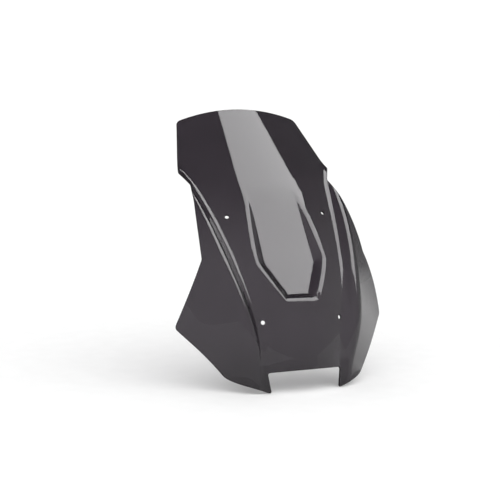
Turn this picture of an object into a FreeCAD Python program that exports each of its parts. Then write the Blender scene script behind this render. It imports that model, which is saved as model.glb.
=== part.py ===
"""A motorcycle windshield screen: one thermoformed, smoked acrylic sheet with four mounting holes.

Rest frame: +X to the right hand of somebody facing the screen, +Y backwards to the rider, +Z up.
The origin is the middle of the four mounting holes. The sheet is designed in its own design frame,
where x is across, y runs up the line through the lower and upper holes, and z stands out of the
front face. That frame is then leaned back about X to the angle of the fitted screen.
"""
import FreeCAD, Part
import math
import os

import Sketcher

doc = FreeCAD.newDocument("windshield_screen")
sheet = doc.addObject("Spreadsheet::Sheet", "Sizes")

# Driving dimensions in millimetres, with angles in degrees and slopes as rise over run.
DIMENSIONS = (
    ("sheetThickness", 3.0),
    ("leanAngle", 57.0),          # the hole line above the horizontal
    # crest line down the middle, seen from the side
    ("crestY", -18.0),            # where the sheet stands furthest out
    ("crestRadiusLow", 270.0),
    ("crestRadiusHigh", 660.0),
    ("crestLengthLow", 132.0),    # bent length below the crest, straight beyond it
    ("crestLengthHigh", 158.0),
    # centre panel, seen in cross section
    ("panelRadius", 230.0),       # at y = 0
    ("panelRadiusTaper", 0.85),   # growth of the radius with each millimetre of y
    ("panelTaperLow", -150.0),
    ("panelTaperHigh", 160.0),
    # valley between the centre panel and the raised flank
    ("valleyX", 91.5),
    ("valleyLean", 0.16),
    ("valleyFlareY", 150.0),
    ("valleyFlare", 0.001),
    ("valleyFillet", 12.0),
    ("valleyFilletY", 40.0),      # above this height the valley opens out
    ("valleyFilletGrowth", 0.07),
    # raised flank, from the valley out to the ridge
    ("flankWidth", 19.2),
    ("flankLength", 310.0),
    ("flankEnd", 200.0),
    ("ridgeRise", 12.5),
    ("ridgeLength", 194.0),
    ("ridgeSwell", 10.0),
    ("ridgeFillet", 10.0),
    # wing, from the ridge back to the edge
    ("wingSlope", 0.58),
    ("wingSlopeSwell", 0.6),
    ("swellY", -100.0),
    ("swellLength", 50.0),
    ("wingSwellLength", 95.0),
    ("wingFadeY", -150.0),        # below this height the wings flatten towards the prongs
    ("wingFadeLength", 38.0),
    ("wingFadeLeast", 0.2),
    # hexagonal recess in the centre panel
    ("recessFloor", -14.5),       # floor's height, counted from the crest
    ("recessFloorRadius", 400.0),
    ("recessTopX", 41.0),
    ("recessTopY", 118.0),
    ("recessMidX", 43.5),
    ("recessMidY", 5.0),
    ("recessLowX", 18.0),
    ("recessLowY", -52.0),
    ("recessWallSlope", 0.85),
    ("recessFloorFillet", 2.0),
    ("recessLipBlend", 6.0),
    # mounting holes
    ("holeDiameter", 6.5),
    ("holeRowSpacing", 182.0),
    ("upperHoleX", 85.0),
    ("lowerHoleX", 66.5),
    # trimmed outline, right half
    ("topCornerX", 108.0),
    ("topCornerY", 297.0),
    ("shoulderX", 135.5),
    ("shoulderY", 190.0),
    ("notchX", 123.5),
    ("notchY", 163.0),
    ("waistX", 142.0),
    ("waistY", 22.0),
    ("wingTipX", 182.5),
    ("wingTipY", -61.0),
    ("wingLowX", 125.0),
    ("wingLowY", -147.0),
    ("spikeX", 58.5),
    ("spikeY", -191.0),
    ("cutoutX", 63.0),
    ("cutoutY", -162.0),
    ("topEdgeRadius", 390.0),
    ("cutoutEdgeRadius", 335.0),
    ("flankEdgeRadius", 840.0),
    ("wingEdgeRadius", 105.0),
    ("topCornerFillet", 12.0),
    ("shoulderFillet", 4.0),
    ("notchFillet", 6.0),
    ("waistFillet", 10.0),
    ("wingTipFillet", 9.0),
    ("spikeFillet", 2.0),
    ("cutoutFillet", 2.5),
    # tools that trim and drill the formed blank
    ("trimDepth", 400.0),
    ("drillLength", 20.0),
)
for row, (alias, value) in enumerate(DIMENSIONS, start=1):
    sheet.set("A%d" % row, alias)
    sheet.set("B%d" % row, str(value))
    sheet.setAlias("B%d" % row, alias)
doc.recompute()


def size(alias):
    """The value of one named cell of the sheet."""
    return float(sheet.get(alias))


# ---------------------------------------------------------------- the formed surface

def fillet_max(first, second, blend):
    """The higher of two heights, with a round where they are nearer than blend."""
    overlap = max(blend - abs(first - second), 0.0)
    return max(first, second) + overlap * overlap / (4.0 * blend)


def fillet_min(first, second, blend):
    """The lower of two heights, with a round where they are nearer than blend."""
    return -fillet_max(-first, -second, blend)


def bow(distance, radius, bent_length):
    """Drop of an arc at a distance from its crown; beyond bent_length it runs on straight."""
    bent = min(distance, bent_length)
    return bent * bent / (2.0 * radius) + (distance - bent) * bent_length / radius


def swell(y, length):
    """A smooth bump of height 1 around the widest part of the wings."""
    return math.exp(-((y - size("swellY")) / length) ** 2)


def crest_height(y):
    """Height of the middle of the sheet, without the recess, counted from its highest point."""
    above = y - size("crestY")
    if above < 0.0:
        return -bow(-above, size("crestRadiusLow"), size("crestLengthLow"))
    return -bow(above, size("crestRadiusHigh"), size("crestLengthHigh"))


def panel_radius(y):
    """Cross-section radius of the centre panel, which opens out upwards like a cone."""
    tapered_y = min(max(y, size("panelTaperLow")), size("panelTaperHigh"))
    return size("panelRadius") + size("panelRadiusTaper") * tapered_y


def panel_height(x, y):
    return crest_height(y) - x * x / (2.0 * panel_radius(y))


def beyond_line(x, y, start, end):
    """Signed distance of a point outside the line that runs from start up to end."""
    along_x = end[0] - start[0]
    along_y = end[1] - start[1]
    length = math.hypot(along_x, along_y)
    return ((x - start[0]) * along_y - (y - start[1]) * along_x) / length


def recess_height(x, y):
    """Flat floor of the hexagonal recess and the walls that rise from it; the top is open."""
    top = (size("recessTopX"), size("recessTopY"))
    middle = (size("recessMidX"), size("recessMidY"))
    low = (size("recessLowX"), size("recessLowY"))
    fillet = size("recessFloorFillet")
    outside = fillet_max(beyond_line(x, y, middle, top), beyond_line(x, y, low, middle), fillet)
    outside = fillet_max(outside, low[1] - y, fillet)
    floor = size("recessFloor") - x * x / (2.0 * size("recessFloorRadius"))
    return floor + size("recessWallSlope") * fillet_max(outside, 0.0, fillet)


def valley_x(y):
    flare = max(y - size("valleyFlareY"), 0.0)
    return size("valleyX") + size("valleyLean") * y + size("valleyFlare") * flare * flare


def valley_fillet(y):
    """Radius of the valley, which opens out towards the shoulders."""
    above = max(y - size("valleyFilletY"), 0.0)
    return size("valleyFillet") + size("valleyFilletGrowth") * above


def flank_width(y):
    reach = min(abs(y), size("flankEnd")) / size("flankLength")
    return size("flankWidth") * (1.0 - reach * reach)


def ridge_rise(y):
    """Height of the ridge above the valley."""
    reach = min(abs(y), size("flankEnd")) / size("ridgeLength")
    steady = size("ridgeRise") * (1.0 - reach * reach)
    return steady + size("ridgeSwell") * swell(y, size("swellLength"))


def wing_slope(y):
    """Backward slope of the wing, steepest at its widest part."""
    below = max(size("wingFadeY") - y, 0.0) / size("wingFadeLength")
    fade = max(1.0 - below * below, size("wingFadeLeast"))
    steady = size("wingSlope") + size("wingSlopeSwell") * swell(y, size("wingSwellLength"))
    return steady * fade


def formed_height(x, y):
    """Height z of the sheet's middle surface at a place in the design frame, from the crest."""
    across = abs(x)
    panel = fillet_min(panel_height(across, y), recess_height(across, y), size("recessLipBlend"))
    bottom_x = valley_x(y)
    ridge_x = bottom_x + flank_width(y)
    flank_slope = ridge_rise(y) / flank_width(y)
    panel_slope = bottom_x / panel_radius(y)
    valley = panel_height(bottom_x, y)
    flank = valley + flank_slope * (across - bottom_x)
    wing = valley + ridge_rise(y) - wing_slope(y) * (across - ridge_x)
    valley_blend = valley_fillet(y) * (panel_slope + flank_slope) ** 2 / 2.0
    ridge_blend = size("ridgeFillet") * (flank_slope + wing_slope(y)) ** 2 / 2.0
    return fillet_min(fillet_max(panel, flank, valley_blend), wing, ridge_blend)


HOLE_ROWS = (
    ("upper", "upperHoleX", size("holeRowSpacing") / 2.0),
    ("lower", "lowerHoleX", -size("holeRowSpacing") / 2.0),
)
hole_heights = [formed_height(size(alias), y) for _, alias, y in HOLE_ROWS]
DATUM = sum(hole_heights) / len(hole_heights)
STEP = 0.5


def middle_point(x, y):
    return FreeCAD.Vector(x, y, formed_height(x, y) - DATUM)


def surface_normal(x, y):
    """Unit normal out of the front face."""
    slope_x = (formed_height(x + STEP, y) - formed_height(x - STEP, y)) / (2.0 * STEP)
    slope_y = (formed_height(x, y + STEP) - formed_height(x, y - STEP)) / (2.0 * STEP)
    return FreeCAD.Vector(-slope_x, -slope_y, 1.0).normalize()


# ---------------------------------------------------------------- the formed blank

PANEL_COLUMNS = 24
FLANK_COLUMNS = 6
WING_COLUMNS = 10
WING_REACH = 100.0
WING_SPREAD = 1.5                       # above 1, columns open out towards the wing tip
ROWS = 130
BLANK_LOW_Y = -205.0
BLANK_HIGH_Y = 322.0


def column_places(y):
    """Places across the sheet, closest together over the flank, from one edge to the other."""
    bottom_x = valley_x(y)
    ridge_x = bottom_x + flank_width(y)
    half = [bottom_x * i / PANEL_COLUMNS for i in range(1, PANEL_COLUMNS)]
    half += [bottom_x + (ridge_x - bottom_x) * i / FLANK_COLUMNS for i in range(FLANK_COLUMNS)]
    half += [ridge_x + WING_REACH * (i / WING_COLUMNS) ** WING_SPREAD for i in range(WING_COLUMNS + 1)]
    return [-x for x in reversed(half)] + [0.0] + half


def skin(offset):
    """Smooth surface at an offset in front of the middle surface."""
    grid = []
    for row in range(ROWS + 1):
        y = BLANK_LOW_Y + (BLANK_HIGH_Y - BLANK_LOW_Y) * row / ROWS
        places = column_places(y)
        grid.append([middle_point(x, y) + surface_normal(x, y) * offset for x in places])
    surface = Part.BSplineSurface()
    surface.interpolate(grid)
    return surface


def closed_sheet(front, back):
    """Solid between two skins, closed by ruled faces along their four edges."""
    faces = [front.toShape(), back.toShape()]
    first_u, last_u, first_v, last_v = front.bounds()
    for place in (first_u, last_u):
        faces.append(Part.makeRuledSurface(front.uIso(place).toShape(), back.uIso(place).toShape()))
    for place in (first_v, last_v):
        faces.append(Part.makeRuledSurface(front.vIso(place).toShape(), back.vIso(place).toShape()))
    shell = Part.makeShell(faces)
    shell.sewShape()
    solid = Part.makeSolid(shell)
    if solid.Volume < 0.0:
        solid.reverse()
    return solid


lean = FreeCAD.Placement(FreeCAD.Vector(0, 0, 0),
                         FreeCAD.Rotation(FreeCAD.Vector(1, 0, 0), size("leanAngle")))
half_thickness = size("sheetThickness") / 2.0
blank = doc.addObject("Part::Feature", "formed_blank")
blank.Shape = closed_sheet(skin(half_thickness), skin(-half_thickness))
blank.Placement = lean

# ---------------------------------------------------------------- the trimmed outline

# Corners of the right half from the top down: name, the round put on it, and the radius of the
# edge from it to the next corner where that edge bends outwards.
CORNERS = (
    ("topCorner", "topCornerFillet", None),
    ("shoulder", "shoulderFillet", None),
    ("notch", "notchFillet", "flankEdgeRadius"),
    ("waist", "waistFillet", None),
    ("wingTip", "wingTipFillet", None),
    ("wingLow", None, "wingEdgeRadius"),
    ("spike", "spikeFillet", None),
    ("cutout", "cutoutFillet", "cutoutEdgeRadius"),
)


def corner_point(name, side):
    return FreeCAD.Vector(side * size(name + "X"), size(name + "Y"), 0)


def arc_between(start, end, radius):
    """Arc that bulges to the left hand of the way from start to end."""
    chord = end - start
    sagitta = radius - math.sqrt(radius * radius - chord.Length ** 2 / 4.0)
    outwards = FreeCAD.Vector(-chord.y, chord.x, 0).normalize()
    return Part.Arc(start, (start + end) * 0.5 + outwards * sagitta, end)


body = doc.addObject("PartDesign::Body", "trim_outline")
outline = body.newObject("Sketcher::SketchObject", "outline_sketch")
plane = [item for item in body.Origin.OriginFeatures if item.Role == "XY_Plane"][0]
outline.AttachmentSupport = (plane, "")
outline.MapMode = "FlatFace"
START, END = 1, 2
SKETCH_ORIGIN = -1
VERTICAL_AXIS = -2


def add_edge(start, end, radius_alias):
    """Draw a line, or an arc that bulges outwards, and hold the arc's radius to the sheet."""
    if radius_alias is None:
        return outline.addGeometry(Part.LineSegment(start, end))
    edge = outline.addGeometry(arc_between(start, end, size(radius_alias)))
    radius = outline.addConstraint(Sketcher.Constraint("Radius", edge, size(radius_alias)))
    outline.setExpression("Constraints[%d]" % radius, "Sizes." + radius_alias)
    return edge


def end_at(edge, place):
    """Which end of a sketch edge lies at a place."""
    if outline.getPoint(edge, START).distanceToPoint(place) < 0.01:
        return START
    return END


# Going round clockwise: down the right side, along the cutout, up the left side and over the top.
round_trip = [(name, 1) for name, _, _ in CORNERS]
round_trip += [(name, -1) for name, _, _ in reversed(CORNERS)]
radius_after = {name: alias for name, _, alias in CORNERS}
edges = []
for index, (name, side) in enumerate(round_trip):
    next_name, next_side = round_trip[(index + 1) % len(round_trip)]
    radius_alias = radius_after[name] if side > 0 else radius_after[next_name]
    if (name, side) == ("topCorner", -1):
        radius_alias = "topEdgeRadius"
    edges.append(add_edge(corner_point(name, side), corner_point(next_name, next_side), radius_alias))

tied = {}
for index, (name, side) in enumerate(round_trip):
    place = corner_point(name, side)
    incoming = edges[index - 1]
    outgoing = edges[index]
    ends = (incoming, end_at(incoming, place)), (outgoing, end_at(outgoing, place))
    outline.addConstraint(Sketcher.Constraint("Coincident", *ends[0], *ends[1]))
    tied[name, side] = ends[1]
for name, _, _ in CORNERS:
    for axis, kind in (("X", "DistanceX"), ("Y", "DistanceY")):
        held = Sketcher.Constraint(kind, SKETCH_ORIGIN, START, *tied[name, 1], size(name + axis))
        held = outline.addConstraint(held)
        outline.setExpression("Constraints[%d]" % held, "Sizes." + name + axis)
    mirrored = Sketcher.Constraint("Symmetric", *tied[name, 1], *tied[name, -1], VERTICAL_AXIS)
    outline.addConstraint(mirrored)
doc.recompute()

trim = body.newObject("PartDesign::Pad", "trim_prism")
trim.Profile = outline
trim.setExpression("Length", "Sizes.trimDepth")
trim.Midplane = True
doc.recompute()


def upright_edges(shape, name):
    """Names of the prism's upright edges at a corner, on both sides."""
    found = []
    for number, edge in enumerate(shape.Edges, start=1):
        middle = edge.CenterOfMass
        for side in (1, -1):
            if middle.distanceToPoint(corner_point(name, side)) < 0.5:
                found.append("Edge%d" % number)
    return found


for name, fillet_alias, _ in CORNERS:
    if fillet_alias is None:
        continue
    fillet = body.newObject("PartDesign::Fillet", name + "_round")
    fillet.Base = (trim, upright_edges(trim.Shape, name))
    fillet.setExpression("Radius", "Sizes." + fillet_alias)
    doc.recompute()
    trim = fillet
body.Placement = lean

trimmed = doc.addObject("Part::Common", "trimmed_sheet")
trimmed.Base = blank
trimmed.Tool = body

# ---------------------------------------------------------------- mounting holes

drills = []
for row, alias, y in HOLE_ROWS:
    for hand, side in (("left", -1), ("right", 1)):
        x = side * size(alias)
        centre = middle_point(x, y)
        normal = surface_normal(x, y)
        drill = doc.addObject("Part::Cylinder", "drill_%s_%s" % (row, hand))
        drill.setExpression("Radius", "Sizes.holeDiameter / 2")
        drill.setExpression("Height", "Sizes.drillLength")
        turn = FreeCAD.Rotation(FreeCAD.Vector(0, 0, 1), normal)
        start = centre - normal * (size("drillLength") / 2.0)
        drill.Placement = lean.multiply(FreeCAD.Placement(start, turn))
        drills.append(drill)
        print("hole", row, hand, lean.multVec(centre), lean.Rotation.multVec(normal))
tools = doc.addObject("Part::MultiFuse", "drills")
tools.Shapes = drills

screen = doc.addObject("Part::Cut", "screen")
screen.Label = "screen"
screen.Base = trimmed
screen.Tool = tools
doc.recompute()

# ---------------------------------------------------------------- check and export

SUB_PARTS = (screen,)
for item in doc.Objects:
    if "Invalid" in item.State or "Error" in item.State:
        raise RuntimeError("failed feature: " + item.Name)
for item in SUB_PARTS:
    if item.Shape.isNull() or not item.Shape.isValid() or len(item.Shape.Solids) != 1:
        raise RuntimeError("bad shape: " + item.Label)

os.makedirs("parts", exist_ok=True)
for item in SUB_PARTS:
    item.Shape.exportStep("parts/%s.step" % item.Label)
    print(item.Label, "volume", round(item.Shape.Volume), item.Shape.BoundBox)
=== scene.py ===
"""A motorcycle windshield screen: one thermoformed sheet of smoked acrylic, trimmed and drilled.

The screen is designed in its own design frame, in millimetres: x runs across, y runs up the line
through the lower and upper mounting holes, and z stands out of the front face. The scene is in
metres: +X to the right hand of somebody facing the screen, +Y backwards to the rider, +Z up.
"""

import math

import bpy
import numpy as np
from mathutils import Matrix, Vector
from mathutils.geometry import delaunay_2d_cdt


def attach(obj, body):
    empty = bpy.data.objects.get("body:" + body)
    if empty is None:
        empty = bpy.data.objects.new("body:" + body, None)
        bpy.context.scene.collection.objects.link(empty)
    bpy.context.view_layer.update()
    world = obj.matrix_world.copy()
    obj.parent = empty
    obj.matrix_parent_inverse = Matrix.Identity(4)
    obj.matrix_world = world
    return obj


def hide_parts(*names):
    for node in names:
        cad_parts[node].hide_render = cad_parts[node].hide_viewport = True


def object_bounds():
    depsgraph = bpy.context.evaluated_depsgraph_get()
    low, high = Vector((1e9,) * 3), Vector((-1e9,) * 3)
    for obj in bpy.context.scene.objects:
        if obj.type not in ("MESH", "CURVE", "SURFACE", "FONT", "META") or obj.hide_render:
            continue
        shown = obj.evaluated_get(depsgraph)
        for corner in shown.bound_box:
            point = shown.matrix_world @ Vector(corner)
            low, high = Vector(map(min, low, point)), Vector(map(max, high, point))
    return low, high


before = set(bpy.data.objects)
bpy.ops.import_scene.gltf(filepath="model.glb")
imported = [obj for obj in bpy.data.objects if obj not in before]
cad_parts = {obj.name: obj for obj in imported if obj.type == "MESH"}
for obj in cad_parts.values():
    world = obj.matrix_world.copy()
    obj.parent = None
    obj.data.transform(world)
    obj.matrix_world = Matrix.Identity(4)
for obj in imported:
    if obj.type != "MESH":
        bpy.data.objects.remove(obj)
cad_box = [list(corner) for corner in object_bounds()]

MM = 0.001

# ---------------------------------------------------------------- driving dimensions

THICKNESS = 3.0
EDGE_ROUND = 0.6
LEAN = math.radians(57.0)               # the hole line above the horizontal, a guess

CREST_Y = -18.0                         # where the sheet stands furthest out
CREST_RADIUS_LOW, CREST_RADIUS_HIGH = 270.0, 660.0
CREST_LENGTH_LOW, CREST_LENGTH_HIGH = 132.0, 158.0

PANEL_RADIUS = 230.0                    # cross section of the centre panel at y = 0
PANEL_RADIUS_TAPER = 0.85
PANEL_TAPER_LOW, PANEL_TAPER_HIGH = -150.0, 160.0

VALLEY_X, VALLEY_LEAN = 91.5, 0.16      # valley between the centre panel and the raised flank
VALLEY_FLARE_Y, VALLEY_FLARE = 150.0, 0.001
VALLEY_FILLET, VALLEY_FILLET_Y, VALLEY_FILLET_GROWTH = 12.0, 40.0, 0.07

FLANK_WIDTH, FLANK_LENGTH, FLANK_END = 19.2, 310.0, 200.0
RIDGE_RISE, RIDGE_LENGTH, RIDGE_SWELL, RIDGE_FILLET = 12.5, 194.0, 10.0, 10.0

WING_SLOPE, WING_SLOPE_SWELL = 0.58, 0.6
SWELL_Y, SWELL_LENGTH, WING_SWELL_LENGTH = -100.0, 50.0, 95.0
WING_FADE_Y, WING_FADE_LENGTH, WING_FADE_LEAST = -150.0, 38.0, 0.2

RECESS_FLOOR, RECESS_FLOOR_RADIUS = -14.5, 400.0
RECESS_TOP, RECESS_MIDDLE, RECESS_LOW = (41.0, 118.0), (43.5, 5.0), (18.0, -52.0)
RECESS_WALL_SLOPE, RECESS_FLOOR_FILLET, RECESS_LIP_BLEND = 0.85, 2.0, 6.0

HOLE_RADIUS = 3.25
HOLES = ((85.0, 91.0), (66.5, -91.0))   # upper and lower hole of the right half

# Right half of the outline from the top down: corner, the round put on it, and the radius of
# the edge from it to the next corner where that edge bends outwards.
CORNERS = (
    ((108.0, 297.0), 12.0, None),
    ((135.5, 190.0), 4.0, None),
    ((123.5, 163.0), 6.0, 840.0),
    ((142.0, 22.0), 10.0, None),
    ((182.5, -61.0), 9.0, None),
    ((125.0, -147.0), 0.0, 105.0),
    ((58.5, -191.0), 2.0, None),
    ((63.0, -162.0), 2.5, 335.0),
)
TOP_EDGE_RADIUS = 390.0

# ---------------------------------------------------------------- the formed surface


def fillet_max(first, second, blend):
    """The higher of two heights, with a round where they are nearer than blend."""
    overlap = np.maximum(blend - np.abs(first - second), 0.0)
    return np.maximum(first, second) + overlap * overlap / (4.0 * blend)


def fillet_min(first, second, blend):
    """The lower of two heights, with a round where they are nearer than blend."""
    return -fillet_max(-first, -second, blend)


def bow(distance, radius, bent_length):
    """Drop of an arc at a distance from its crown; beyond bent_length it runs on straight."""
    bent = np.minimum(distance, bent_length)
    return bent * bent / (2.0 * radius) + (distance - bent) * bent_length / radius


def swell(y, length):
    """A smooth bump of height 1 around the widest part of the wings."""
    return np.exp(-(((y - SWELL_Y) / length) ** 2))


def crest_height(y):
    """Height of the middle of the sheet, without the recess, counted from its highest point."""
    below = bow(np.maximum(CREST_Y - y, 0.0), CREST_RADIUS_LOW, CREST_LENGTH_LOW)
    above = bow(np.maximum(y - CREST_Y, 0.0), CREST_RADIUS_HIGH, CREST_LENGTH_HIGH)
    return -below - above


def panel_radius(y):
    """Cross-section radius of the centre panel, which opens out upwards like a cone."""
    return PANEL_RADIUS + PANEL_RADIUS_TAPER * np.clip(y, PANEL_TAPER_LOW, PANEL_TAPER_HIGH)


def panel_height(x, y):
    return crest_height(y) - x * x / (2.0 * panel_radius(y))


def beyond_line(x, y, start, end):
    """Signed distance of a point outside the line that runs from start up to end."""
    along_x = end[0] - start[0]
    along_y = end[1] - start[1]
    length = math.hypot(along_x, along_y)
    return ((x - start[0]) * along_y - (y - start[1]) * along_x) / length


def beyond_recess(x, y):
    """Signed distance of a point outside the floor of the hexagonal recess; its top is open."""
    upper_wall = beyond_line(x, y, RECESS_MIDDLE, RECESS_TOP)
    lower_wall = beyond_line(x, y, RECESS_LOW, RECESS_MIDDLE)
    outside = fillet_max(upper_wall, lower_wall, RECESS_FLOOR_FILLET)
    return fillet_max(outside, RECESS_LOW[1] - y, RECESS_FLOOR_FILLET)


def recess_height(x, y):
    """Floor of the recess and the walls that rise from it."""
    floor = RECESS_FLOOR - x * x / (2.0 * RECESS_FLOOR_RADIUS)
    return floor + RECESS_WALL_SLOPE * fillet_max(beyond_recess(x, y), 0.0, RECESS_FLOOR_FILLET)


def valley_x(y):
    flare = np.maximum(y - VALLEY_FLARE_Y, 0.0)
    return VALLEY_X + VALLEY_LEAN * y + VALLEY_FLARE * flare * flare


def valley_fillet(y):
    """Radius of the valley, which opens out towards the shoulders."""
    return VALLEY_FILLET + VALLEY_FILLET_GROWTH * np.maximum(y - VALLEY_FILLET_Y, 0.0)


def flank_width(y):
    reach = np.minimum(np.abs(y), FLANK_END) / FLANK_LENGTH
    return FLANK_WIDTH * (1.0 - reach * reach)


def ridge_rise(y):
    """Height of the ridge above the valley."""
    reach = np.minimum(np.abs(y), FLANK_END) / RIDGE_LENGTH
    return RIDGE_RISE * (1.0 - reach * reach) + RIDGE_SWELL * swell(y, SWELL_LENGTH)


def wing_slope(y):
    """Backward slope of the wing, steepest at its widest part."""
    below = np.maximum(WING_FADE_Y - y, 0.0) / WING_FADE_LENGTH
    fade = np.maximum(1.0 - below * below, WING_FADE_LEAST)
    return (WING_SLOPE + WING_SLOPE_SWELL * swell(y, WING_SWELL_LENGTH)) * fade


def formed_height(x, y):
    """Height z of the sheet's middle surface at a place in the design frame, from the crest."""
    across = np.abs(x)
    panel = fillet_min(panel_height(across, y), recess_height(across, y), RECESS_LIP_BLEND)
    bottom_x = valley_x(y)
    ridge_x = bottom_x + flank_width(y)
    flank_slope = ridge_rise(y) / flank_width(y)
    panel_slope = bottom_x / panel_radius(y)
    valley = panel_height(bottom_x, y)
    flank = valley + flank_slope * (across - bottom_x)
    wing = valley + ridge_rise(y) - wing_slope(y) * (across - ridge_x)
    valley_blend = valley_fillet(y) * (panel_slope + flank_slope) ** 2 / 2.0
    ridge_blend = RIDGE_FILLET * (flank_slope + wing_slope(y)) ** 2 / 2.0
    return fillet_min(fillet_max(panel, flank, valley_blend), wing, ridge_blend)


DATUM = sum(formed_height(np.float64(x), np.float64(y)) for x, y in HOLES) / len(HOLES)
SLOPE_STEP = 0.25


def middle_points(x, y):
    """Points of the sheet's middle surface."""
    return np.stack([x, y, formed_height(x, y) - DATUM], axis=1)


def unit(vectors):
    return vectors / np.linalg.norm(vectors, axis=1, keepdims=True)


def surface_normals(x, y):
    """Unit normals out of the front face."""
    rise_x = formed_height(x + SLOPE_STEP, y) - formed_height(x - SLOPE_STEP, y)
    rise_y = formed_height(x, y + SLOPE_STEP) - formed_height(x, y - SLOPE_STEP)
    run = np.full_like(rise_x, 2.0 * SLOPE_STEP)
    return unit(np.stack([-rise_x, -rise_y, run], axis=1))


# ---------------------------------------------------------------- the trimmed outline

OUTLINE_STEP = 2.5                      # between vertices along the long edges
ROUND_STEPS = 6
HOLE_STEPS = 32
TANGENT_SHARE = 0.01                    # share of an edge that shows its direction at a corner


def edge_point(start, end, radius, share):
    """Point at a share of an edge, which is straight or an arc that bulges to the left hand."""
    chord = end - start
    if radius is None:
        return start + chord * share
    half_angle = math.asin(chord.length / (2.0 * radius))
    left_hand = Vector((-chord.y, chord.x)).normalized()
    centre = (start + end) / 2.0 - left_hand * radius * math.cos(half_angle)
    return centre + Matrix.Rotation(-2.0 * half_angle * share, 2) @ (start - centre)


def round_point(start, corner, end, turn, share):
    """Point at a share of the round that replaces a corner between two points on its edges."""
    weight = 2.0 * share * (1.0 - share) * math.cos(turn / 2.0)
    blended = start * (1.0 - share) ** 2 + corner * weight + end * share**2
    return blended / ((1.0 - share) ** 2 + weight + share**2)


def trimmed_outline():
    """The whole outline, clockwise from the right top corner, with its corners rounded."""
    corners = [(Vector(place), fillet) for place, fillet, _ in CORNERS]
    corners += [(Vector((-place.x, place.y)), fillet) for place, fillet in reversed(corners)]
    radii = [radius for _, _, radius in CORNERS]
    radii += radii[-2::-1] + [TOP_EDGE_RADIUS]
    count = len(corners)
    cuts = []
    for i, (corner, fillet) in enumerate(corners):
        following = corners[(i + 1) % count][0]
        before = edge_point(corners[i - 1][0], corner, radii[i - 1], 1.0 - TANGENT_SHARE) - corner
        after = edge_point(corner, following, radii[i], TANGENT_SHARE) - corner
        turn = math.pi - before.angle(after)
        cuts.append((fillet * math.tan(turn / 2.0), turn))
    points = []
    for i, (corner, fillet) in enumerate(corners):
        following = corners[(i + 1) % count][0]
        previous = corners[i - 1][0]
        length = (following - corner).length
        first = cuts[i][0] / length
        last = 1.0 - cuts[(i + 1) % count][0] / length
        if fillet > 0.0:
            start_share = 1.0 - cuts[i][0] / (corner - previous).length
            start = edge_point(previous, corner, radii[i - 1], start_share)
            end = edge_point(corner, following, radii[i], first)
            shares = [step / ROUND_STEPS for step in range(ROUND_STEPS)]
            points += [round_point(start, corner, end, cuts[i][1], share) for share in shares]
        steps = max(1, round((last - first) * length / OUTLINE_STEP))
        shares = [first + (last - first) * step / steps for step in range(steps)]
        points += [edge_point(corner, following, radii[i], share) for share in shares]
    return points


def inset(points, distance):
    """A clockwise loop of points moved inwards."""
    moved = []
    for i, point in enumerate(points):
        before = (point - points[i - 1]).normalized()
        after = (points[(i + 1) % len(points)] - point).normalized()
        along = (before + after).normalized()
        inwards = Vector((along.y, -along.x))
        moved.append(point + inwards * distance / along.dot(after))
    return moved


def hole_loop(x, y, radius):
    """Rim of a hole that is drilled square to the sheet, as seen down the z axis."""
    normal = Vector(surface_normals(np.array([x]), np.array([y]))[0])
    side = Vector((0, 1, 0)).cross(normal).normalized()
    up = normal.cross(side)
    loop = []
    for step in range(HOLE_STEPS):
        angle = 2.0 * math.pi * step / HOLE_STEPS
        spoke = (side * math.cos(angle) + up * math.sin(angle)) * radius
        loop.append(Vector((x + spoke.x, y + spoke.y)))
    return loop


# ---------------------------------------------------------------- the sheet's mesh

PANEL_STEP = 2.4                        # between vertices over the panel and the wings
BEND_STEPS = 26                         # columns across the valley, flank and ridge
BEND_MARGIN = 9.0                       # how far those columns reach beyond valley and ridge
WING_STEPS = 30
RECESS_STEP = 1.1                       # between vertices over the recess walls
RECESS_INSIDE, RECESS_OUTSIDE = -4.0, 18.0   # reach of that finer grid from the floor's edge
EDGE_CLEARANCE = 1.3                    # least distance from an inner vertex to the rim
SAME_PLACE = 1e-4
ROUND_ANGLES = (60.0, 30.0, 0.0)        # rim vertices round each edge, in degrees


def column_places(y):
    """Places across the right half at one height, closest together over the raised flank."""
    inner = valley_x(y) - BEND_MARGIN
    outer = valley_x(y) + flank_width(y) + BEND_MARGIN
    panel = np.linspace(0.0, inner, round(inner / PANEL_STEP), endpoint=False)
    bend = np.linspace(inner, outer, BEND_STEPS, endpoint=False)
    wing = outer + PANEL_STEP * np.arange(WING_STEPS)
    return np.concatenate([panel, bend, wing])


def near_recess_wall(places):
    """Which places lie over the recess walls and their rounds."""
    x, y = places.T
    outside = beyond_recess(np.abs(x), y)
    below_top = y < RECESS_TOP[1] + BEND_MARGIN
    return (outside > RECESS_INSIDE) & (outside < RECESS_OUTSIDE) & below_top


def blank_places(low, high):
    """Places for the vertices of the whole blank, closer together over the recess walls."""
    rows = []
    for y in np.arange(low, high, PANEL_STEP):
        half = column_places(y)
        across = np.concatenate([-half[:0:-1], half])
        rows.append(np.stack([across, np.full_like(across, y)], axis=1))
    coarse = np.concatenate(rows)
    reach = RECESS_MIDDLE[0] + RECESS_OUTSIDE
    columns = np.arange(-reach, reach, RECESS_STEP)
    heights = np.arange(RECESS_LOW[1] - RECESS_OUTSIDE, RECESS_TOP[1] + BEND_MARGIN, RECESS_STEP)
    fine = np.stack(np.meshgrid(columns, heights), axis=2).reshape(-1, 2)
    return np.concatenate([coarse[~near_recess_wall(coarse)], fine[near_recess_wall(fine)]])


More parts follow.
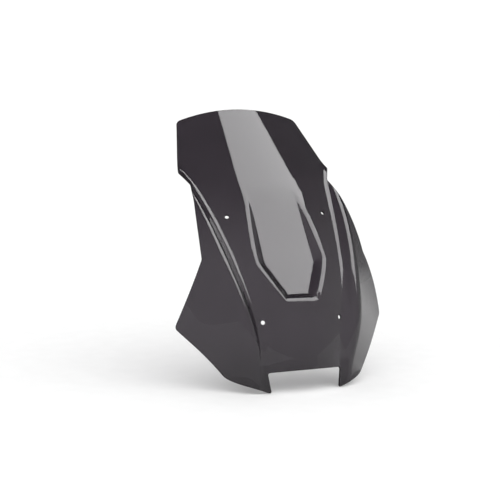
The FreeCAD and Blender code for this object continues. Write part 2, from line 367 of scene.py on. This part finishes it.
def trimmed_away(places, loops, clearance):
    """Which places lie outside the outline, inside a hole, or too near to either's edge."""
    inside = np.zeros(len(places), bool)
    too_near = np.zeros(len(places), bool)
    for loop in loops:
        for start, end in zip(loop, loop[1:] + loop[:1]):
            offset = places - np.array(start)
            along = np.array(end - start)
            share = np.clip(offset @ along / (along @ along), 0.0, 1.0)
            gap = offset - share[:, None] * along
            too_near |= np.hypot(gap[:, 0], gap[:, 1]) < clearance
            if start.y != end.y:
                level = (offset[:, 1] >= 0.0) != (places[:, 1] >= end.y)
                inside ^= level & (offset[:, 0] < along[0] * offset[:, 1] / along[1])
    return ~inside | too_near


def trimmed_triangles():
    """Vertex places and triangles that fill the trimmed outline around its holes."""
    loops = [inset(trimmed_outline(), EDGE_ROUND)]
    for x, y in HOLES:
        loops += [hole_loop(side * x, y, HOLE_RADIUS + EDGE_ROUND) for side in (1, -1)]
    heights = [place.y for place in loops[0]]
    blank = blank_places(min(heights), max(heights))
    inner = blank[~trimmed_away(blank, loops, EDGE_CLEARANCE)]
    places = []
    edges = []
    for loop in loops:
        first = len(places)
        places += loop
        edges += [(first + i, first + (i + 1) % len(loop)) for i in range(len(loop))]
    places += [Vector(place) for place in inner]
    places, _, triangles, _, _, _ = delaunay_2d_cdt(places, edges, [], 0, SAME_PLACE)
    places = np.array([tuple(place) for place in places])
    corners = places[np.array(triangles)]
    kept = ~trimmed_away(corners.mean(axis=1), loops, 0.0)
    side_a, side_b = corners[:, 1] - corners[:, 0], corners[:, 2] - corners[:, 0]
    left_turn = side_a[:, 0] * side_b[:, 1] - side_a[:, 1] * side_b[:, 0] > 0.0
    triangles = [tri if left else tri[::-1] for tri, left in zip(triangles, left_turn)]
    return places, [tuple(tri) for tri, keep in zip(triangles, kept) if keep]


def rim_edges(triangles):
    """Edges with one triangle, in that triangle's direction, so that the sheet is on the left."""
    directed = set()
    for first, second, third in triangles:
        directed |= {(first, second), (second, third), (third, first)}
    return sorted(edge for edge in directed if edge[::-1] not in directed)


def outward_directions(points, normals, rim):
    """Unit direction in the sheet, away from it, at each vertex of the rim."""
    outwards = np.zeros_like(points)
    for first, second in rim:
        across = np.cross(points[second] - points[first], normals[first])
        outwards[first] += across / np.linalg.norm(across)
        outwards[second] += across / np.linalg.norm(across)
    return outwards


def sheet_mesh(materials):
    """Closed mesh of the sheet: front, back, and a rim with rounded edges, in two materials."""
    places, triangles = trimmed_triangles()
    points = middle_points(*places.T)
    normals = surface_normals(*places.T)
    rim = rim_edges(triangles)
    rim_vertices = sorted({vertex for edge in rim for vertex in edge})
    outwards = unit(outward_directions(points, normals, rim)[rim_vertices])
    rim_normals = normals[rim_vertices]
    rim_points = points[rim_vertices]

    half = THICKNESS / 2.0
    vertices = [points + normals * half, points - normals * half]
    directions = [normals, -normals]
    count = len(points)
    faces = list(triangles) + [tuple(vertex + count for vertex in tri[::-1]) for tri in triangles]
    rings = [{vertex: vertex for vertex in rim_vertices}]
    steps = [(1, math.radians(angle)) for angle in ROUND_ANGLES]
    steps += [(-1, -math.radians(angle)) for angle in reversed(ROUND_ANGLES)]
    for number, (side, angle) in enumerate(steps):
        direction = outwards * math.cos(angle) + rim_normals * math.sin(angle)
        vertices.append(rim_points + rim_normals * side * (half - EDGE_ROUND) + direction * EDGE_ROUND)
        directions.append(direction)
        first = 2 * count + number * len(rim_vertices)
        rings.append({vertex: first + i for i, vertex in enumerate(rim_vertices)})
    rings.append({vertex: vertex + count for vertex in rim_vertices})
    for upper, lower in zip(rings, rings[1:]):
        faces += [(upper[a], lower[a], lower[b], upper[b]) for a, b in rim]
    sheet_faces = 2 * len(triangles)

    lean = np.array(Matrix.Rotation(LEAN, 3, "X"))
    mesh = bpy.data.meshes.new("screen_sheet")
    mesh.from_pydata(np.concatenate(vertices) @ lean.T * MM, [], faces)
    mesh.shade_smooth()
    mesh.normals_split_custom_set_from_vertices(np.concatenate(directions) @ lean.T)
    for material in materials:
        mesh.materials.append(material)
    for face in mesh.polygons[sheet_faces:]:
        face.material_index = 1
    return mesh


# ---------------------------------------------------------------- materials

NOISE_LOW, NOISE_HIGH = 0.3, 0.7        # most of a noise's values lie between these

# Scale of each noise, in features per metre, and its detail.
TINT_NOISE, POLISH_NOISE, RIPPLE_NOISE = (9.0, 2.0), (60.0, 3.0), (14.0, 1.0)
CUTTER_NOISE, MOTTLE_NOISE = (900.0, 2.0), (30.0, 3.0)

ACRYLIC_IOR = 1.49
POLISH_ROUGHNESS, RIPPLE_HEIGHT = (0.015, 0.045), 0.00004
TINT_THIN, TINT_THICK = (0.262, 0.210, 0.270, 1.0), (0.226, 0.181, 0.233, 1.0)
SMOKE_COLOUR, SMOKE_DENSITY = (0.0, 0.0, 0.0, 1.0), 620.0
EDGE_DARK, EDGE_PALE = (0.010, 0.008, 0.010, 1.0), (0.022, 0.018, 0.022, 1.0)
EDGE_SHINE, EDGE_ROUGHNESS = 0.08, (0.55, 0.75)
PAPER_DARK, PAPER_PALE = (0.90, 0.90, 0.90, 1.0), (0.92, 0.92, 0.92, 1.0)
PAPER_ROUGHNESS, PAPER_SHINE = 0.9, 0.1


def node(tree, kind, **inputs):
    """A new shader node with values set on its sockets."""
    made = tree.nodes.new(kind)
    for name, value in inputs.items():
        made.inputs[name.replace("_", " ")].default_value = value
    return made


def noise(tree, scale, detail):
    """Three-dimensional noise over the object, in features per metre."""
    coordinates = node(tree, "ShaderNodeTexCoord")
    texture = node(tree, "ShaderNodeTexNoise", Scale=scale, Detail=detail)
    tree.links.new(coordinates.outputs["Object"], texture.inputs["Vector"])
    return texture.outputs["Fac"]


def ranged(tree, value, low, high):
    """The value of a noise, spread from low to high."""
    spread = node(tree, "ShaderNodeMapRange", To_Min=low, To_Max=high)
    spread.inputs["From Min"].default_value = NOISE_LOW
    spread.inputs["From Max"].default_value = NOISE_HIGH
    tree.links.new(value, spread.inputs["Value"])
    return spread.outputs["Result"]


def blended_colour(tree, value, first, second):
    """A colour between two colours, as a value goes from 0 to 1."""
    mix = tree.nodes.new("ShaderNodeMix")
    mix.data_type = "RGBA"
    mix.inputs["A"].default_value = first
    mix.inputs["B"].default_value = second
    tree.links.new(value, mix.inputs["Factor"])
    return mix.outputs["Result"]


def smoked_acrylic():
    """Smoked clear plastic: tinted at its faces and darker along longer paths through it."""
    material = bpy.data.materials.new("smoked_acrylic_polished")
    material.use_nodes = True
    tree = material.node_tree
    tree.nodes.clear()
    shader = node(tree, "ShaderNodeBsdfPrincipled", IOR=ACRYLIC_IOR, Transmission_Weight=1.0)
    smoke = node(tree, "ShaderNodeVolumeAbsorption", Color=SMOKE_COLOUR, Density=SMOKE_DENSITY)
    output = node(tree, "ShaderNodeOutputMaterial")

    drawn = ranged(tree, noise(tree, *TINT_NOISE), 0.0, 1.0)
    tree.links.new(blended_colour(tree, drawn, TINT_THIN, TINT_THICK), shader.inputs["Base Color"])
    polish = ranged(tree, noise(tree, *POLISH_NOISE), *POLISH_ROUGHNESS)
    tree.links.new(polish, shader.inputs["Roughness"])
    ripple = node(tree, "ShaderNodeBump", Strength=1.0, Distance=RIPPLE_HEIGHT)
    tree.links.new(noise(tree, *RIPPLE_NOISE), ripple.inputs["Height"])
    tree.links.new(ripple.outputs["Normal"], shader.inputs["Normal"])
    tree.links.new(shader.outputs["BSDF"], output.inputs["Surface"])
    tree.links.new(smoke.outputs["Volume"], output.inputs["Volume"])
    return material


def cut_edge():
    """Routed edge of the sheet: nearly black and matt, with fine cutter marks."""
    material = bpy.data.materials.new("smoked_acrylic_cut_edge")
    material.use_nodes = True
    tree = material.node_tree
    shader = tree.nodes["Principled BSDF"]
    shader.inputs["IOR"].default_value = ACRYLIC_IOR
    marks = noise(tree, *CUTTER_NOISE)
    tree.links.new(blended_colour(tree, marks, EDGE_DARK, EDGE_PALE), shader.inputs["Base Color"])
    shader.inputs["Specular IOR Level"].default_value = EDGE_SHINE
    tree.links.new(ranged(tree, marks, *EDGE_ROUGHNESS), shader.inputs["Roughness"])
    return material


def floor_paper():
    """Matt white paper with a faint mottle."""
    material = bpy.data.materials.new("floor_paper")
    material.use_nodes = True
    tree = material.node_tree
    shader = tree.nodes["Principled BSDF"]
    shader.inputs["Roughness"].default_value = PAPER_ROUGHNESS
    shader.inputs["Specular IOR Level"].default_value = PAPER_SHINE
    mottle = ranged(tree, noise(tree, *MOTTLE_NOISE), 0.0, 1.0)
    paper = blended_colour(tree, mottle, PAPER_DARK, PAPER_PALE)
    tree.links.new(paper, shader.inputs["Base Color"])
    return material


# ---------------------------------------------------------------- the screen

screen = bpy.data.objects.new("screen_sheet", sheet_mesh((smoked_acrylic(), cut_edge())))
bpy.context.scene.collection.objects.link(screen)
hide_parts("screen")
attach(screen, "root")

# ---------------------------------------------------------------- the studio

FLOOR_HALF = 14.0

# The key light in metres: its place, the way it faces, the way its long side runs, and its size.
KEY_PLACE = (0.666, -0.135, 1.201)
KEY_FACING = Vector((0.175, 0.639, -0.749))
KEY_LONG_WAY = Vector((-0.338, -0.676, -0.655))
KEY_WIDTH, KEY_HEIGHT, KEY_RADIANCE = 0.947, 1.43, 5.8

GLOW_FACING = Vector((-0.15, 0.10, -1.0))
GLOW_ANGLE = math.radians(150.0)
GLOW_WITH_SHADOW, GLOW_WITHOUT_SHADOW = 1.0, 1.45

# Brightness of the room around the screen, and over which spans it changes. A direction's back
# and up run from -1 to 1, and its shade is back + ROOM_TILT * up.
ROOM_TILT = 0.8
ROOM_LIGHT, CEILING_LIGHT, ROOM_SHADE_SPAN = 0.88, 0.08, (-0.10, 1.0)
SKIRTING_LIGHT, SKIRTING_UP_SPAN = 0.95, (0.0, 0.18)
SWEEP_LIGHT, SWEEP_BACK_SPAN, SWEEP_UP_SPAN = 1.15, (0.45, 0.70), (0.06, 0.25)


def add_floor():
    """A wide sheet of white paper at the foot of the screen."""
    mesh = bpy.data.meshes.new("floor")
    corners = [(-1, -1), (1, -1), (1, 1), (-1, 1)]
    mesh.from_pydata([(x * FLOOR_HALF, y * FLOOR_HALF, 0.0) for x, y in corners], [], [(0, 1, 2, 3)])
    mesh.materials.append(floor_paper())
    floor = bpy.data.objects.new("floor", mesh)
    floor.location.z = Vector(cad_box[0]).z
    bpy.context.scene.collection.objects.link(floor)


def aimed(direction, up):
    """Rotation that turns an object's -Z to a direction, with its Y as near up as may be."""
    back = -direction.normalized()
    side = up.cross(back).normalized()
    return Matrix((side, back.cross(side), back)).transposed().to_euler()


def add_softbox():
    """A rectangular light that only shows in the gloss."""
    light = bpy.data.lights.new("key_softbox", "AREA")
    light.shape = "RECTANGLE"
    light.size = KEY_WIDTH
    light.size_y = KEY_HEIGHT
    light.energy = KEY_RADIANCE * math.pi * KEY_WIDTH * KEY_HEIGHT
    lamp = bpy.data.objects.new("key_softbox", light)
    lamp.location = KEY_PLACE
    lamp.rotation_euler = aimed(KEY_FACING, KEY_LONG_WAY)
    lamp.visible_diffuse = False
    lamp.visible_camera = False
    bpy.context.scene.collection.objects.link(lamp)


def add_ceiling_glow(name, strength, casts_shadow):
    """Even, very soft light from above, which the polished sheet does not mirror."""
    light = bpy.data.lights.new(name, "SUN")
    light.energy = strength
    light.angle = GLOW_ANGLE
    light.use_shadow = casts_shadow
    lamp = bpy.data.objects.new(name, light)
    lamp.rotation_euler = aimed(GLOW_FACING, Vector((0, 1, 0)))
    lamp.visible_glossy = False
    lamp.visible_transmission = False
    bpy.context.scene.collection.objects.link(lamp)


def calculated(tree, operation, *values):
    """The result of a math node, from sockets of other nodes and from plain numbers."""
    made = tree.nodes.new("ShaderNodeMath")
    made.operation = operation
    for socket, value in zip(made.inputs, values):
        if isinstance(value, float):
            socket.default_value = value
        else:
            tree.links.new(value, socket)
    return made.outputs["Value"]


def ramp(tree, value, span, levels):
    """A value that eases from one level to another as its input crosses a span."""
    eased = node(tree, "ShaderNodeMapRange", From_Min=span[0], From_Max=span[1])
    eased.interpolation_type = "SMOOTHSTEP"
    eased.inputs["To Min"].default_value = levels[0]
    eased.inputs["To Max"].default_value = levels[1]
    tree.links.new(value, eased.inputs["Value"])
    return eased.outputs["Result"]


def add_world():
    """A room that is bright low in front and darkens upwards and backwards.

    A pale skirting runs round its foot, and a white sweep stands low behind the screen.
    """
    world = bpy.data.worlds.new("studio")
    world.use_nodes = True
    bpy.context.scene.world = world
    tree = world.node_tree
    background = tree.nodes["Background"]
    background.inputs["Color"].default_value = (1.0, 1.0, 1.0, 1.0)
    direction = node(tree, "ShaderNodeTexCoord")
    parts = node(tree, "ShaderNodeSeparateXYZ")
    tree.links.new(direction.outputs["Generated"], parts.inputs["Vector"])
    back, up = parts.outputs["Y"], parts.outputs["Z"]
    shade = calculated(tree, "MULTIPLY_ADD", up, ROOM_TILT, back)
    room = ramp(tree, shade, ROOM_SHADE_SPAN, (ROOM_LIGHT, CEILING_LIGHT))
    skirting = ramp(tree, up, SKIRTING_UP_SPAN, (SKIRTING_LIGHT, 0.0))
    sweep_back = ramp(tree, back, SWEEP_BACK_SPAN, (0.0, SWEEP_LIGHT))
    sweep_low = ramp(tree, up, SWEEP_UP_SPAN, (1.0, 0.0))
    sweep = calculated(tree, "MULTIPLY", sweep_back, sweep_low)
    low_light = calculated(tree, "MAXIMUM", skirting, sweep)
    strength = calculated(tree, "MAXIMUM", room, low_light)
    tree.links.new(strength, background.inputs["Strength"])


add_floor()
add_world()
add_softbox()
add_ceiling_glow("ceiling_glow", GLOW_WITH_SHADOW, True)
add_ceiling_glow("floor_fill", GLOW_WITHOUT_SHADOW, False)

# ---------------------------------------------------------------- camera

# The lens is assumed, and the camera's place and the sheet's depth go with it: the mirrored pairs
# of points in the photograph fit other lenses just as well.
CAMERA_TARGET = Vector((-0.0534, 0.0284, 0.0260))
CAMERA_DISTANCE = 2.2937
CAMERA_AZIMUTH, CAMERA_ELEVATION = math.radians(-24.943), math.radians(7.180)
CAMERA_ROLL = math.radians(0.315)
CAMERA_LENS, CAMERA_SENSOR = 104.4, 36.0


def add_camera():
    """Camera in front of the screen, somewhat to the left of it and above it."""
    camera_data = bpy.data.cameras.new("camera")
    camera_data.lens = CAMERA_LENS
    camera_data.sensor_width = CAMERA_SENSOR
    camera = bpy.data.objects.new("camera", camera_data)
    level = math.cos(CAMERA_ELEVATION)
    outwards = Vector((math.sin(CAMERA_AZIMUTH) * level, -math.cos(CAMERA_AZIMUTH) * level,
                       math.sin(CAMERA_ELEVATION)))
    facing = aimed(-outwards, Vector((0, 0, 1))).to_matrix()
    camera.rotation_euler = (facing @ Matrix.Rotation(CAMERA_ROLL, 3, "Z")).to_euler()
    camera.location = CAMERA_TARGET + outwards * CAMERA_DISTANCE
    bpy.context.scene.collection.objects.link(camera)
    bpy.context.scene.camera = camera


add_camera()
bpy.context.scene.view_settings.view_transform = "Standard"

bpy.context.view_layer.update()
